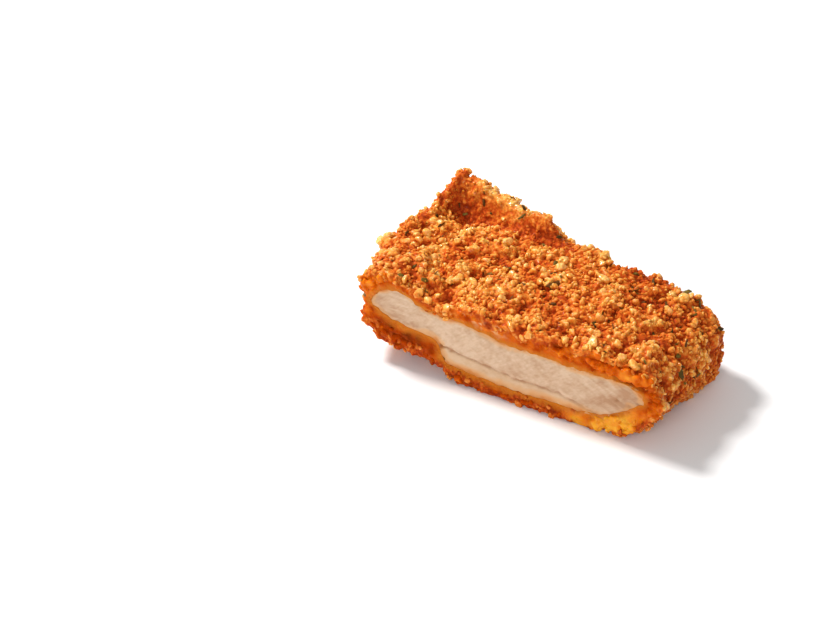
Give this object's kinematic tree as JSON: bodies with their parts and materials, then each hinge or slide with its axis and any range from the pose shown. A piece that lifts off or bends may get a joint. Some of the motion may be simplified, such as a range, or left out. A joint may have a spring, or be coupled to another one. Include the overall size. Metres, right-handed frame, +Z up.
{
  "type": "fried chicken",
  "caption": "Cut half of a breaded, deep-fried chicken fillet with a craggy crumb coating around pale meat that shows at the flat cut.",
  "frame": {"origin": "middle of the bounding box's bottom face, on the surface that the piece lies on", "axes": "+X along the cut towards the thinner rounded end, +Y from the cut face into the piece, +Z up out of the crumbed top"},
  "size_m": [0.0934, 0.0524, 0.0323],
  "materials": {
    "coating": "rough fried crumb with a faint oily sheen",
    "meat": "moist cooked white meat"
  },
  "bodies": {
    "root": {"coating": "coating", "meat": "meat"}
  },
  "joints": []
}
